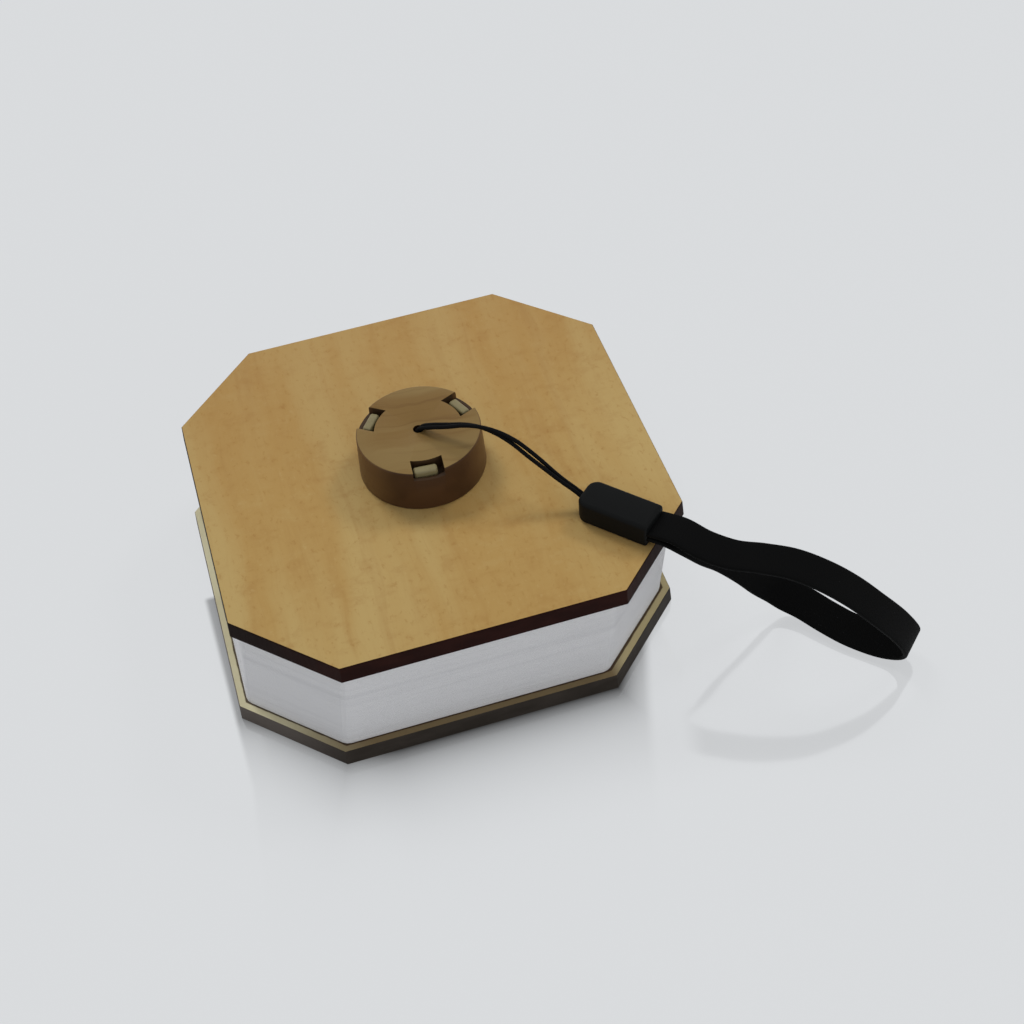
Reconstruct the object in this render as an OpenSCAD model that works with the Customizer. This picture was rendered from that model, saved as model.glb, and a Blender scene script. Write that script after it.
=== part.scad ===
// Folding book lamp in millimetres, +Z up.
// Two octagonal wooden covers are hinged to a rigid spine at +Y. Folded paper leaves fan
// out between them, and a lamp module on the spine lights them from inside. A magnetic
// hub with a wrist strap sits on the lid. The origin is the middle of the underside.

/* [Covers] */
// Width of a cover across two opposite sides
board_w = 125; // [110:0.5:180]
// Length that each cut corner takes off a side
corner_cut = 24.3; // [18:0.1:28]
// Thickness of a finished cover
board_t = 5.4; // [4.8:0.1:8]
// Thickness of the outer veneer
veneer_t = 0.8; // [0.5:0.1:1]
// Thickness of the inner lining
lining_t = 0.6; // [0.3:0.1:0.8]
// Height of the space between the covers
page_gap = 29.8; // [28:0.1:45]
// How far the lid sits to the right of the bottom cover
lid_shift = 3.4; // [0:0.1:4]
// Diameter of a cover magnet
magnet_d = 8; // [5:0.5:10]
// Thickness of a cover magnet
magnet_t = 2; // [1:0.1:2.4]
// Distance of a cover magnet from the fore edge
magnet_inset = 12; // [8:0.5:18]
// Diameter of the magnet that works the reed switch
switch_magnet_d = 5; // [4:0.5:6]
// Distance of that magnet from the spine's front face
switch_magnet_inset = 6; // [4:0.5:9]
// Diameter of the steel disc that holds the hub
steel_d = 40; // [30:1:60]
// Thickness of the steel disc that holds the hub
steel_t = 0.8; // [0.5:0.1:1.2]

/* [Leaves] */
// Distance of a leaf's edge from the edge of the covers
page_inset = 2.3; // [1.5:0.1:5]
// Depth of a leaf from its outer fold inwards
page_depth = 18; // [12:0.5:24]
// Thickness of the paper
sheet_t = 0.3; // [0.15:0.05:0.4]
// Air between one leaf and the next
leaf_clear = 0.3; // [0.2:0.05:0.5]
// Width of the open back of a leaf, where the lamp module stands
mouth_w = 80; // [76:0.5:84]
// Gap between the leaves and the spine
back_clear = 0.4; // [0.3:0.05:1]

/* [Spine] */
// Thickness of the spine
spine_t = 6; // [5:0.1:7]
// Distance of the spine's back from the covers' back edge
spine_inset = 2.3; // [1.5:0.1:4]
// Gap between the spine's round edge and a cover
hinge_clear = 0.3; // [0.2:0.05:0.5]
// Diameter of a hinge pin
pin_d = 2; // [1.5:0.1:2.2]
// Length of a hinge pin
pin_len = 25; // [20:0.5:28]
// Radial clearance between a pin and a knuckle
pin_clear = 0.05; // [0.02:0.01:0.1]
// Outside diameter of a knuckle
knuckle_d = 5.2; // [4.4:0.1:5.6]
// Width of a knuckle and its plate
knuckle_w = 8; // [6:0.5:10]
// Distance of each knuckle from the middle of the spine
knuckle_x = 26; // [24:0.5:28]
// Side clearance of a knuckle in its notch
notch_clear = 0.4; // [0.2:0.05:0.6]
// Thickness of a hinge plate
plate_t = 1.2; // [0.8:0.1:1.6]
// Length of a hinge plate, from the pin forwards
plate_reach = 20; // [17:0.5:26]
// Diameter of a plate screw's shank
screw_d = 1.8; // [1.4:0.1:2]
// Diameter of a plate screw's head
head_d = 3.6; // [3:0.1:4]
// Length of a plate screw's shank below the plate
screw_len = 3.2; // [2:0.1:3.6]

/* [Lamp module] */
// Length of the lamp housing
lamp_l = 66; // [64:0.5:72]
// Height of the lamp housing
lamp_h = 22; // [22:0.5:24]
// Depth of the lamp housing
lamp_d = 10; // [9.5:0.1:13]
// Wall of the lamp housing
lamp_wall = 1.6; // [1.4:0.1:1.8]
// Thickness of the floor that lies on the spine
lamp_floor = 1.2; // [1:0.1:1.4]
// Corner radius of the lamp housing
lamp_r = 2.4; // [2:0.1:4]
// Thickness of the frosted diffuser
diffuser_t = 1.2; // [0.8:0.1:1.4]
// Lip that carries the diffuser
diffuser_lip = 0.8; // [0.5:0.1:1]
// Clearance round a piece that drops into a seat
seat_clear = 0.1; // [0.05:0.05:0.2]
// Thickness of both circuit boards
pcb_t = 0.8; // [0.6:0.1:1]
// Height of the pads under the control board
pad_h = 0.8; // [0.5:0.1:1]
// Gap between a housing screw's head and the end wall
screw_gap = 2.8; // [2.6:0.1:4]
// Gap between a housing screw's head and the control board
control_gap = 1; // [0.5:0.1:2]
// Width of the control board
control_w = 16; // [15:0.5:17]
// Height of the chips on the control board
chip_h = 1.2; // [0.8:0.1:1.3]
// Room for the pin header beyond an end of the battery
battery_gap = 2; // [1.6:0.1:4]
// Width of the battery
battery_w = 12; // [10:0.5:12.5]
// Thickness of the battery
battery_t = 3; // [2.4:0.1:3.1]
// Number of light-emitting diodes
led_count = 6; // [3:1:9]
// Spacing of the light-emitting diodes
led_pitch = 9.5; // [6:0.1:10]
// Gap between the battery and the light board
led_gap = 0.2; // [0.1:0.1:0.6]
// Width of the charging socket
usb_w = 9; // [8.8:0.1:9.4]
// Height of the charging socket
usb_h = 3.3; // [3.1:0.1:3.6]

/* [Hub and strap] */
// Diameter of the hub at its top
hub_d = 34.4; // [32:0.2:44]
// Diameter that the hub gains down to its foot
hub_flare = 1; // [0:0.1:2]
// Height of the hub
hub_h = 13.3; // [11:0.1:16]
// Rounding of the hub's edges
hub_edge = 0.6; // [0.3:0.1:1.2]
// Width of a notch in the hub's rim
notch_w = 9; // [8:0.1:11]
// Depth of a notch below the hub's top
notch_depth = 4.2; // [3.6:0.1:5]
// Radial depth of a notch from the hub's rim
notch_reach = 5; // [4.6:0.1:6]
// Thickness of the lip that is left outside a notch
rim_lip = 1.1; // [0.8:0.1:1.4]
// Drop of the lip below the hub's top
lip_drop = 2.4; // [1.5:0.1:3]
// Length of a bar magnet
bar_l = 6.8; // [5:0.1:7.6]
// Width of a bar magnet
bar_w = 2.8; // [2:0.1:3.2]
// Height of a bar magnet
bar_h = 3.4; // [2.5:0.1:3.5]
// Diameter of the hole for the cord
cord_hole_d = 3; // [2.4:0.1:4]
// Diameter of the recess for the knot
knot_bore_d = 9; // [8:0.1:12]
// Depth of the recess for the knot
knot_bore_h = 5; // [4.6:0.1:6]
// Diameter of the pad under the hub
pad_d = 24; // [16:0.5:28]
// Thickness of the pad under the hub
pad_t = 0.8; // [0.5:0.1:1.5]
// Diameter of one strand of the cord
cord_d = 0.9; // [0.7:0.05:1.2]
// Length of the bead
bead_l = 21.4; // [16:0.1:26]
// Width of the bead
bead_w = 10; // [8:0.1:12]
// Height of the bead
bead_h = 7.4; // [6:0.1:9]
// Width of the strap
strap_w = 9.4; // [7:0.1:9.4]
// Thickness of the strap
strap_t = 1.3; // [0.8:0.1:1.5]

/* [Hidden] */
$fn = 64;
eps = 0.01;

// Whole stack: a cover, the leaves and the other cover
total_h = 2 * board_t + page_gap;
mid_z = total_h / 2;
core_t = board_t - veneer_t - lining_t;
base_x = -lid_shift / 2;
lid_x = lid_shift / 2;

// Both hinge axes run along X, half a spine thickness inside the spine's round edges
axis_y = board_w / 2 - spine_inset - spine_t / 2;
axis_z = board_t + hinge_clear + spine_t / 2;
spine_front = axis_y - spine_t / 2;
spine_back_half = board_w / 2 - corner_cut - lid_shift / 2;

// Leaves share the height between the covers
leaf_count = 12;
leaf_pitch = page_gap / leaf_count;
leaf_t = leaf_pitch - leaf_clear;

// Where the screws sit in a hinge plate, from the pin forwards
plate_screws = [8, plate_reach - 4];

// Levels inside the lamp module, from the spine's front face forwards
control_z = lamp_floor + pad_h;
chip_z = control_z + pcb_t;
battery_z = chip_z + chip_h;
led_board_z = battery_z + battery_t + led_gap;
led_z = led_board_z + pcb_t;
led_h = 0.6;
led_size = [3.5, 2.8];
cavity_l = lamp_l - 2 * lamp_wall;
cavity_h = lamp_h - 2 * lamp_wall;
post_d = 3;
post_x = cavity_l / 2 - post_d / 2 - 0.3;
post_y = cavity_h / 2 - post_d / 2 - 0.3;
housing_screw_x = cavity_l / 2 - screw_gap - head_d / 2;
control_l = 2 * (housing_screw_x - head_d / 2 - control_gap);
battery_l = control_l - 2 * battery_gap;
led_board_l = cavity_l - 4 * seat_clear;
led_board_w = cavity_h - 4 * seat_clear;
chip_l = 5;
chip_w = 4;
pad_x = control_l / 2 - 3;
pad_y = control_w / 2 - 2.5;
reed_y = -(battery_w / 2 + 1.2);
reed_d = 1.8;
reed_l = 12;
tab_t = 0.2;
tab_w = 2.5;
link_w = 1.2;
link_l = 6;

// Hub and what is tied to it
hub_z = total_h;
hub_top = hub_z + hub_h;
hub_notches = [-96, 24, 144];
bar_top_drop = notch_depth - bar_h;
bead_at = [45.8, -39.5];
bead_angle = -47.4;
bead_z = total_h;

// Middle line of the cord, from the knot in the hub to the bead
cord_route = [
    [1.7, 0, 45.6], [1.7, 0, 48.6], [1.7, 0, 52.4], [2.4, -0.4, 54.6], [5, -2.7, 56.4],
    [8.8, -5.8, 58.1], [12.8, -8.7, 59.7], [16.7, -11.8, 60.4], [20.5, -15, 59.8],
    [24, -18.3, 58.2], [27.2, -21.5, 55.6], [30.4, -24.3, 52.5], [33.5, -26.8, 49.3],
    [36.7, -29.3, 46.5], [38.3, -30.8, 45.1], [39.8, -33, 44.4]
];
// Direction from one strand of the cord to the other
cord_across = [0.66, 0.75, 0];
// Middle line of the strap, from the bead out over the edge and back
strap_route = [
    [52.3, -46.6, 45.1], [57.8, -52.1, 45.4], [62.4, -57.8, 44.5], [68.4, -62.5, 43.5],
    [75.4, -66.3, 43.4], [82.9, -70.2, 42.3], [90.2, -74.2, 38.9], [97.2, -77.3, 33.2],
    [103.7, -79.9, 26], [109.5, -80.7, 18.7], [113.4, -80.9, 12], [114.9, -79.9, 6.9],
    [113, -77.6, 4.1], [108.9, -73.7, 3.3], [103.5, -68.2, 3.2], [98.8, -62.2, 3.3],
    [94.6, -56.4, 3.9], [90.7, -52.3, 5.4], [87.3, -50.7, 8.9], [82.4, -50.7, 14.8],
    [77.3, -50.5, 21.9], [71.8, -50.3, 29.2], [66.6, -51.3, 35.6], [61.8, -51.3, 40.5],
    [57.4, -50.4, 43.1], [52.3, -46.6, 43.5]
];
// Direction across the strap's width, at the bead, on the way out and on the way back
bead_across = [0.736, 0.677, 0];
strap_across = [0.735, 0.659, 0.16];
return_across = [0.735, 0.659, 0.57];
// First and last point of the route between which the strap turns to the way back
strap_turn = [9, 14];
// Points of the route over which the strap turns from one to the other
strap_settle = 4;

// ---------- helpers ----------

// A share from 0 to 1 that starts and ends gently
function ease(t) = let (c = min(1, max(0, t))) c * c * (3 - 2 * c);

// Corner points of a square with cut corners
function octagon(w, cut) = let (h = w / 2, k = w / 2 - cut) [
    [-k, -h], [k, -h], [h, -k], [h, k], [k, h], [-k, h], [-h, k], [-h, -k]
];

// The cut of an octagon whose eight sides all move inwards by the same distance
function inset_cut(inset) = corner_cut - inset * (2 - sqrt(2));

module inset_octagon(inset) {
    polygon(octagon(board_w - 2 * inset, inset_cut(inset)));
}

module rounded_rect(l, w, r) {
    square([l - 2 * r, w], center = true);
    square([l, w - 2 * r], center = true);
    for (x = [-1, 1], y = [-1, 1])
        translate([x * (l / 2 - r), y * (w / 2 - r)]) circle(r);
}

// A cylinder along X, centred on its length
module x_cylinder(d, l) {
    rotate([0, 90, 0]) cylinder(d = d, h = l, center = true);
}

// Turns a piece of the lower half into its twin in the upper half
module upper_half() {
    translate([0, 0, total_h]) mirror([0, 0, 1]) children();
}

// Local frame of the lamp module: X along the spine, Y up, Z forwards from its front face
module on_spine() {
    translate([0, spine_front, mid_z]) rotate([90, 0, 0]) children();
}

module at_hub() {
    translate([lid_x, 0, hub_z]) children();
}

function unit(v) = v / norm(v);

// Direction of travel at point i of a route
function heading(route, i) =
    unit(route[min(i + 1, len(route) - 1)] - route[max(i - 1, 0)]);

// Sweeps a closed ring along a route; rings[i] lists the points round point i. A band
// that twists needs triangles, because its four-cornered faces wouldn't be flat.
module skin(rings, twists = false) {
    sides = len(rings[0]);
    last = len(rings) - 1;
    polyhedron(
        points = [for (ring = rings, p = ring) p],
        faces = concat(
            [[for (k = [0:sides - 1]) k]],
            [[for (k = [sides - 1:-1:0]) last * sides + k]],
            [for (i = [0:last - 1], k = [0:sides - 1]) let (
                n = (k + 1) % sides,
                quad = [i * sides + k, (i + 1) * sides + k, (i + 1) * sides + n, i * sides + n]
            ) each twists ? [
                [quad[0], quad[1], quad[2]], [quad[0], quad[2], quad[3]]
            ] : [quad]]
        )
    );
}

// ---------- covers ----------

module cover_slab(z, t, x) {
    translate([x, 0, z]) linear_extrude(t) inset_octagon(0);
}

// Two magnets near the fore edge, under the lining
module magnet_pair(d, t, x) {
    for (side = [-1, 1])
        translate([
            x + side * (board_w / 2 - corner_cut), magnet_inset - board_w / 2,
            board_t - lining_t - t
        ]) cylinder(d = d, h = t);
}

// Single magnet below the reed switch, also under the lining
module reed_magnet() {
    translate([0, spine_front - switch_magnet_inset, board_t - lining_t - magnet_t])
        cylinder(d = switch_magnet_d, h = magnet_t);
}

// Clearance for the plate screws through everything from the inner face down
module screw_holes(d, depth) {
    for (side = [-1, 1], reach = plate_screws)
        translate([side * knuckle_x, axis_y - reach, board_t - depth])
            cylinder(d = d, h = depth + eps);
}

module cover_core(x) {
    difference() {
        cover_slab(veneer_t, core_t, x);
        magnet_pair(magnet_d, magnet_t, x);
        translate([0, 0, magnet_t / 2]) magnet_pair(magnet_d, magnet_t, x);
        screw_holes(screw_d, screw_len);
    }
}

module cover_lining(x) {
    difference() {
        cover_slab(board_t - lining_t, lining_t, x);
        screw_holes(screw_d, screw_len);
    }
}

module steel_disc() {
    translate([lid_x, 0, veneer_t]) cylinder(d = steel_d, h = steel_t);
}

// Plates with a rolled knuckle each, screwed to the inner face of a cover
module hinge_plates() {
    for (side = [-1, 1]) translate([side * knuckle_x, 0, 0]) difference() {
        union() {
            translate([0, axis_y, axis_z]) x_cylinder(knuckle_d, knuckle_w);
            translate([-knuckle_w / 2, axis_y - plate_reach, board_t])
                cube([knuckle_w, plate_reach, plate_t]);
            translate([-knuckle_w / 2, axis_y - knuckle_d / 2, board_t])
                cube([knuckle_w, knuckle_d / 2, axis_z - board_t]);
        }
        translate([0, axis_y, axis_z]) x_cylinder(pin_d + 2 * pin_clear, knuckle_w + 1);
        for (reach = plate_screws) translate([0, axis_y - reach, board_t]) {
            cylinder(d1 = screw_d, d2 = head_d, h = plate_t);
            translate([0, 0, -eps]) cylinder(d = screw_d, h = plate_t);
            translate([0, 0, plate_t]) cylinder(d = head_d, h = 1);
        }
    }
}

// Countersunk screws, flush with the plates
module plate_screw_set() {
    for (side = [-1, 1], reach = plate_screws)
        translate([side * knuckle_x, axis_y - reach, board_t]) {
            cylinder(d1 = screw_d, d2 = head_d, h = plate_t);
            translate([0, 0, -screw_len]) cylinder(d = screw_d, h = screw_len);
        }
}

module base_board() {
    color("#3b2418") difference() {
        cover_core(base_x);
        reed_magnet();
        translate([0, 0, magnet_t / 2]) reed_magnet();
    }
}

module base_veneer() {
    color("#c9a266") cover_slab(0, veneer_t, base_x);
}

module base_lining() {
    color("#b8ac7e") cover_lining(base_x);
}

module base_magnets() {
    color("silver") magnet_pair(magnet_d, magnet_t, base_x);
}

module switch_magnet() {
    color("silver") reed_magnet();
}

module base_hinges() {
    color("goldenrod") hinge_plates();
}

module base_screws() {
    color("dimgray") plate_screw_set();
}

module lid_board() {
    color("#3b2418") upper_half() difference() {
        cover_core(lid_x);
        steel_disc();
        translate([0, 0, -steel_t / 2]) steel_disc();
    }
}

module lid_veneer() {
    color("#c9a266") upper_half() cover_slab(0, veneer_t, lid_x);
}

module lid_lining() {
    color("#b8ac7e") upper_half() cover_lining(lid_x);
}

module lid_magnets() {
    color("silver") upper_half() magnet_pair(magnet_d, magnet_t, lid_x);
}

module lid_hinges() {
    color("goldenrod") upper_half() hinge_plates();
}

module lid_screws() {
    color("dimgray") upper_half() plate_screw_set();
}

module lid_steel_disc() {
    color("slategray") upper_half() steel_disc();
}

// ---------- spine ----------

// Half of the spine's profile across its thickness, with one round edge
module spine_profile() {
    translate([axis_y, axis_z]) circle(d = spine_t);
    translate([spine_front, axis_z]) square([spine_t, total_h - 2 * axis_z]);
    translate([axis_y, total_h - axis_z]) circle(d = spine_t);
}

// Plan of the spine, whose ends follow the cut corners of the covers
module spine_plan() {
    back = spine_front + spine_t;
    polygon([
        [-spine_back_half, back], [-spine_back_half - spine_t, spine_front],
        [spine_back_half + spine_t, spine_front], [spine_back_half, back]
    ]);
}

// Room for a knuckle at each end of the two hinges
module knuckle_notches() {
    reach = spine_t / 2 + hinge_clear;
    for (side = [-1, 1]) translate([side * knuckle_x, axis_y, 0])
        for (z = [axis_z, total_h - axis_z])
            translate([0, 0, z])
                cube([knuckle_w + 2 * notch_clear, 2 * reach, 2 * reach], center = true);
}

module usb_outline(grow) {
    rounded_rect(usb_w + 2 * grow, usb_h + 2 * grow, usb_h / 2 + grow - eps);
}

// Bores for the pins, drilled in from the ends of the spine
module pin_bores() {
    for (side = [-1, 1], z = [axis_z, total_h - axis_z])
        translate([side * (knuckle_x - pin_len / 2), axis_y, z]) rotate([0, side * 90, 0])
            cylinder(d = pin_d, h = board_w / 2);
}

module spine_strip() {
    color("#a9825a") difference() {
        intersection() {
            translate([-board_w / 2, 0, 0]) rotate([90, 0, 90])
                linear_extrude(board_w) spine_profile();
            linear_extrude(total_h) spine_plan();
        }
        knuckle_notches();
        pin_bores();
        on_spine() translate([0, 0, -spine_t - 1])
            linear_extrude(spine_t + 2) usb_outline(seat_clear);
        on_spine() for (side = [-1, 1]) translate([side * housing_screw_x, 0, -screw_len])
            cylinder(d = screw_d, h = screw_len + 1);
    }
}

module hinge_pins() {
    color("lightgray") for (side = [-1, 1], z = [axis_z, total_h - axis_z])
        translate([side * knuckle_x, axis_y, z]) x_cylinder(pin_d, pin_len);
}

// ---------- lamp module ----------

module lamp_housing() {
    color("whitesmoke") on_spine() {
        difference() {
            linear_extrude(lamp_d) rounded_rect(lamp_l, lamp_h, lamp_r);
            translate([0, 0, lamp_floor]) linear_extrude(lamp_d)
                rounded_rect(cavity_l, cavity_h, lamp_r - lamp_wall / 2);
            translate([0, 0, lamp_d - diffuser_t]) linear_extrude(lamp_d)
                rounded_rect(
                    lamp_l - 2 * diffuser_lip, lamp_h - 2 * diffuser_lip,
                    lamp_r - diffuser_lip
                );
            translate([0, 0, -1]) linear_extrude(lamp_d) usb_outline(seat_clear);
            for (side = [-1, 1]) translate([side * housing_screw_x, 0, -1])
                cylinder(d = screw_d, h = lamp_d);
        }
        for (x = [-post_x, post_x], y = [-post_y, post_y])
            translate([x, y, lamp_floor - eps])
                cylinder(d = post_d, h = led_board_z - lamp_floor + eps);
        for (x = [-pad_x, pad_x], y = [-pad_y, pad_y])
            translate([x, y, lamp_floor - eps]) cylinder(d = 2.4, h = pad_h + eps);
    }
}

module housing_screws() {
    color("dimgray") on_spine() for (side = [-1, 1]) translate([side * housing_screw_x, 0, 0]) {
        translate([0, 0, lamp_floor]) cylinder(d = head_d, h = pad_h);
        translate([0, 0, -screw_len]) cylinder(d = screw_d, h = lamp_floor + screw_len);
    }
}

module diffuser() {
    inset = diffuser_lip + seat_clear;
    color("white") on_spine() translate([0, 0, lamp_d - diffuser_t])
        linear_extrude(diffuser_t)
            rounded_rect(lamp_l - 2 * inset, lamp_h - 2 * inset, lamp_r - inset);
}

module led_board() {
    color("ivory") on_spine() translate([0, 0, led_board_z])
        linear_extrude(pcb_t)
            rounded_rect(led_board_l, led_board_w, lamp_r - lamp_wall / 2);
}

module leds() {
    color("khaki") on_spine() for (i = [0:led_count - 1])
        translate([(i - (led_count - 1) / 2) * led_pitch, 0, led_z]) linear_extrude(led_h)
            square(led_size, center = true);
}

module battery() {
    color("silver") on_spine() translate([0, 0, battery_z])
        linear_extrude(battery_t) rounded_rect(battery_l, battery_w, 1);
}

module control_board() {
    color("darkgreen") on_spine() translate([0, 0, control_z])
        linear_extrude(pcb_t) square([control_l, control_w], center = true);
}

// Charger, driver and inductor, which carry the battery
module board_chips() {
    color("#202020") on_spine() for (along = [-1, 0, 1])
        translate([along * control_l / 4, 0, chip_z]) linear_extrude(chip_h)
            square([chip_l, chip_w], center = true);
}

// Glass switch that lights the lamp when the covers open
module reed_switch() {
    color("lightcyan") on_spine() translate([0, reed_y, chip_z + reed_d / 2])
        x_cylinder(reed_d, reed_l);
}

// Nickel tabs that join the battery to the control board
module battery_tabs() {
    color("lightgray") on_spine() for (y = [-battery_w / 3, battery_w / 3])
        translate([-battery_l / 2 - tab_t / 2, y, chip_z]) linear_extrude(battery_t)
            square([tab_t, tab_w], center = true);
}

// Pin header between the two boards
module board_link() {
    color("black") on_spine()
        translate([(control_l - battery_gap) / 2, 0, chip_z])
            linear_extrude(led_board_z - chip_z) square([link_w, link_l], center = true);
}

module usb_socket() {
    color("silver") on_spine() {
        difference() {
            translate([0, 0, -spine_t]) linear_extrude(spine_t + control_z) usb_outline(0);
            translate([0, 0, -spine_t - 1]) linear_extrude(spine_t + 0.5)
                usb_outline(-0.35);
        }
        translate([0, 0, -spine_t + 0.8]) linear_extrude(spine_t)
            square([usb_w - 2.4, 0.7], center = true);
    }
}

// ---------- leaves ----------

// Plan of a leaf: a band round three sides and four cut corners, open at the spine
module leaf_plan() {
    difference() {
        inset_octagon(page_inset);
        inset_octagon(page_inset + page_depth);
        translate([-mouth_w / 2, 0]) square([mouth_w, board_w]);
        translate([-board_w, spine_front - back_clear]) square(2 * board_w);
    }
}

// A folded leaf: two sheets joined by the fold round the outside
module page(i) {
    along = (i - 0.5) / leaf_count;
    x = base_x + along * lid_shift;
    z = board_t + (i - 1) * leaf_pitch + leaf_clear / 2;
    color("white") translate([x, 0, z]) {
        linear_extrude(sheet_t) leaf_plan();
        translate([0, 0, leaf_t - sheet_t]) linear_extrude(sheet_t) leaf_plan();
        linear_extrude(leaf_t) difference() {
            leaf_plan();
            inset_octagon(page_inset + sheet_t);
        }
    }
}

// ---------- hub, cord and strap ----------

module hub_turning() {
    r = hub_d / 2;
    foot = (hub_d + hub_flare) / 2;
    rotate_extrude($fn = 96) polygon([
        [0, 0], [foot - hub_edge, 0], [foot, hub_edge], [r, hub_h - hub_edge],
        [r - hub_edge, hub_h], [0, hub_h]
    ]);
}

// A stretch of a ring round the hub, as wide as a notch
module ring_stretch(inner, outer, t) {
    intersection() {
        difference() {
            cylinder(r = outer, h = t);
            translate([0, 0, -1]) cylinder(r = inner, h = t + 2);
        }
        translate([0, -notch_w / 2, 0]) cube([outer, notch_w, t]);
    }
}

// A pocket along the rim, with a lowered lip on its outer side
module rim_notch() {
    r = hub_d / 2;
    translate([0, 0, hub_h - notch_depth])
        ring_stretch(r - notch_reach, r - rim_lip, notch_depth + 1);
    translate([0, 0, hub_h - lip_drop])
        ring_stretch(r - rim_lip - eps, r + 1, lip_drop + 1);
}

module hub_disc() {
    color("#8a6a45") at_hub() difference() {
        hub_turning();
        for (a = hub_notches) rotate([0, 0, a]) rim_notch();
        translate([0, 0, -1]) cylinder(d = cord_hole_d, h = hub_h + 2);
        translate([0, 0, -1]) cylinder(d = knot_bore_d, h = pad_t + knot_bore_h + 1);
        translate([0, 0, -1]) cylinder(d = pad_d + 2 * seat_clear, h = pad_t + 1);
    }
}

// Bars that lie along the rim, one in each notch
module hub_magnets() {
    lip_in = hub_d / 2 - rim_lip - seat_clear;
    bar_r = sqrt(lip_in * lip_in - bar_l * bar_l / 4) - bar_w / 2;
    color("#cfc8a8") at_hub() for (a = hub_notches) rotate([0, 0, a])
        translate([bar_r, 0, hub_h - bar_top_drop - bar_h / 2]) rotate([90, 0, 0])
            linear_extrude(bar_l, center = true) rounded_rect(bar_w, bar_h, 0.7);
}

module hub_pad() {
    color("#5a5a58") at_hub() cylinder(d = pad_d, h = pad_t);
}

// Two turns of the tied cord, pulled up against the top of their recess
module cord_knot() {
    turn = cord_d + 0.5;
    top = pad_t + knot_bore_h;
    color("#101010") at_hub() {
        translate([0, 0, top - 1.5 * turn]) rotate_extrude()
            translate([turn, 0]) circle(d = turn, $fn = 24);
        translate([0, 0, top - turn / 2]) rotate_extrude()
            translate([turn, 0]) circle(d = turn, $fn = 24);
        translate([0, 0, top - 2 * turn]) cylinder(r = turn, h = 1.6 * turn);
    }
}

// One strand of the doubled cord, beside the route's middle line
module strand(side) {
    across = unit(cord_across);
    last = len(cord_route) - 1;
    skin([for (i = [0:last]) let (
        gap = cord_d / 2 + 0.04 + 0.16 * i / last,
        middle = cord_route[i] + side * gap * across,
        out = unit(cross(across, heading(cord_route, i)))
    ) [for (k = [0:7]) middle + cord_d / 2 * (cos(45 * k) * across + sin(45 * k) * out)]]);
}

module hub_cord() {
    color("#101010") {
        strand(-1);
        strand(1);
    }
}

// Moulded bead that joins the cord to the strap
module cord_bead() {
    color("#1c1c1e") translate([bead_at[0], bead_at[1], bead_z]) rotate([0, 0, bead_angle])
        intersection() {
            linear_extrude(bead_h) {
                translate([1, 0]) rounded_rect(bead_l - 2, bead_w, 0.8);
                translate([-2, 0]) rounded_rect(bead_l - 4, bead_w, 3);
            }
            translate([0, 0, bead_h / 2]) rotate([90, 0, 90])
                linear_extrude(bead_l + 2, center = true)
                    rounded_rect(bead_w, bead_h, 1.2);
        }
}

// Flat woven strap, swept along its route
module wrist_strap() {
    last = len(strap_route) - 1;
    color("#161616") skin([for (i = [0:last]) let (
        free = min(1, i / strap_settle, (last - i) / strap_settle),
        back = ease((i - strap_turn[0]) / (strap_turn[1] - strap_turn[0])),
        loose = strap_across * (1 - back) + return_across * back,
        across = unit(bead_across * (1 - free) + loose * free),
        side = strap_w / 2 * across,
        out = strap_t / 2 * unit(cross(across, heading(strap_route, i))),
        p = strap_route[i]
    ) [p + side + out, p - side + out, p - side - out, p + side - out]], twists = true);
}

// ---------- one line for each node ----------

base_board();
base_veneer();
base_lining();
base_magnets();
base_hinges();
base_screws();
lid_board();
lid_veneer();
lid_lining();
lid_magnets();
lid_hinges();
lid_screws();
lid_steel_disc();
spine_strip();
hinge_pins();
lamp_housing();
housing_screws();
diffuser();
led_board();
leds();
battery();
battery_tabs();
control_board();
board_chips();
board_link();
reed_switch();
usb_socket();
switch_magnet();
page(1);  // page_01
page(2);  // page_02
page(3);  // page_03
page(4);  // page_04
page(5);  // page_05
page(6);  // page_06
page(7);  // page_07
page(8);  // page_08
page(9);  // page_09
page(10);  // page_10
page(11);  // page_11
page(12);  // page_12
hub_disc();
hub_magnets();
hub_pad();
cord_knot();
hub_cord();
cord_bead();
wrist_strap();
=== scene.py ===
"""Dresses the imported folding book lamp: covers, paper, hub, cord, bead and strap.

The scene is in metres, in the model's own frame. Named sizes are in millimetres, and mm() or
MM turns them into metres; inside a finish, places and widths are plain metres.
"""

import math

import bmesh
import bpy
import numpy as np
from mathutils import Matrix, Vector


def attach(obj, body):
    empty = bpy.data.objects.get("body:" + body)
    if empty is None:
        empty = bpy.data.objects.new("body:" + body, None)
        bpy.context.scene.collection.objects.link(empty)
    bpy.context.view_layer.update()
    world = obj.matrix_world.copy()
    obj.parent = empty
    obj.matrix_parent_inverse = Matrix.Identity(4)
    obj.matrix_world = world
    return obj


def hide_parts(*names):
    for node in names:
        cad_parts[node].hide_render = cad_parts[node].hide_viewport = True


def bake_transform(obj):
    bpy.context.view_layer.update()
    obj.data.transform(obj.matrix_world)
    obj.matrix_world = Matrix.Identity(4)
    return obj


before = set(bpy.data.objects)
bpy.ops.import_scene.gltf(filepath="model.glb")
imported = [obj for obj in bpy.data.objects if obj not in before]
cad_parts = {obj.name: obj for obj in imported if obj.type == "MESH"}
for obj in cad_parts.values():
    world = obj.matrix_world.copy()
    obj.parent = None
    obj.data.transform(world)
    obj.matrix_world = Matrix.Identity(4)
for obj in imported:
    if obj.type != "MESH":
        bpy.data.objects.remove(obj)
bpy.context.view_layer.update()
scene = bpy.context.scene
scene.view_settings.view_transform = "Standard"

MM = 0.001

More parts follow.
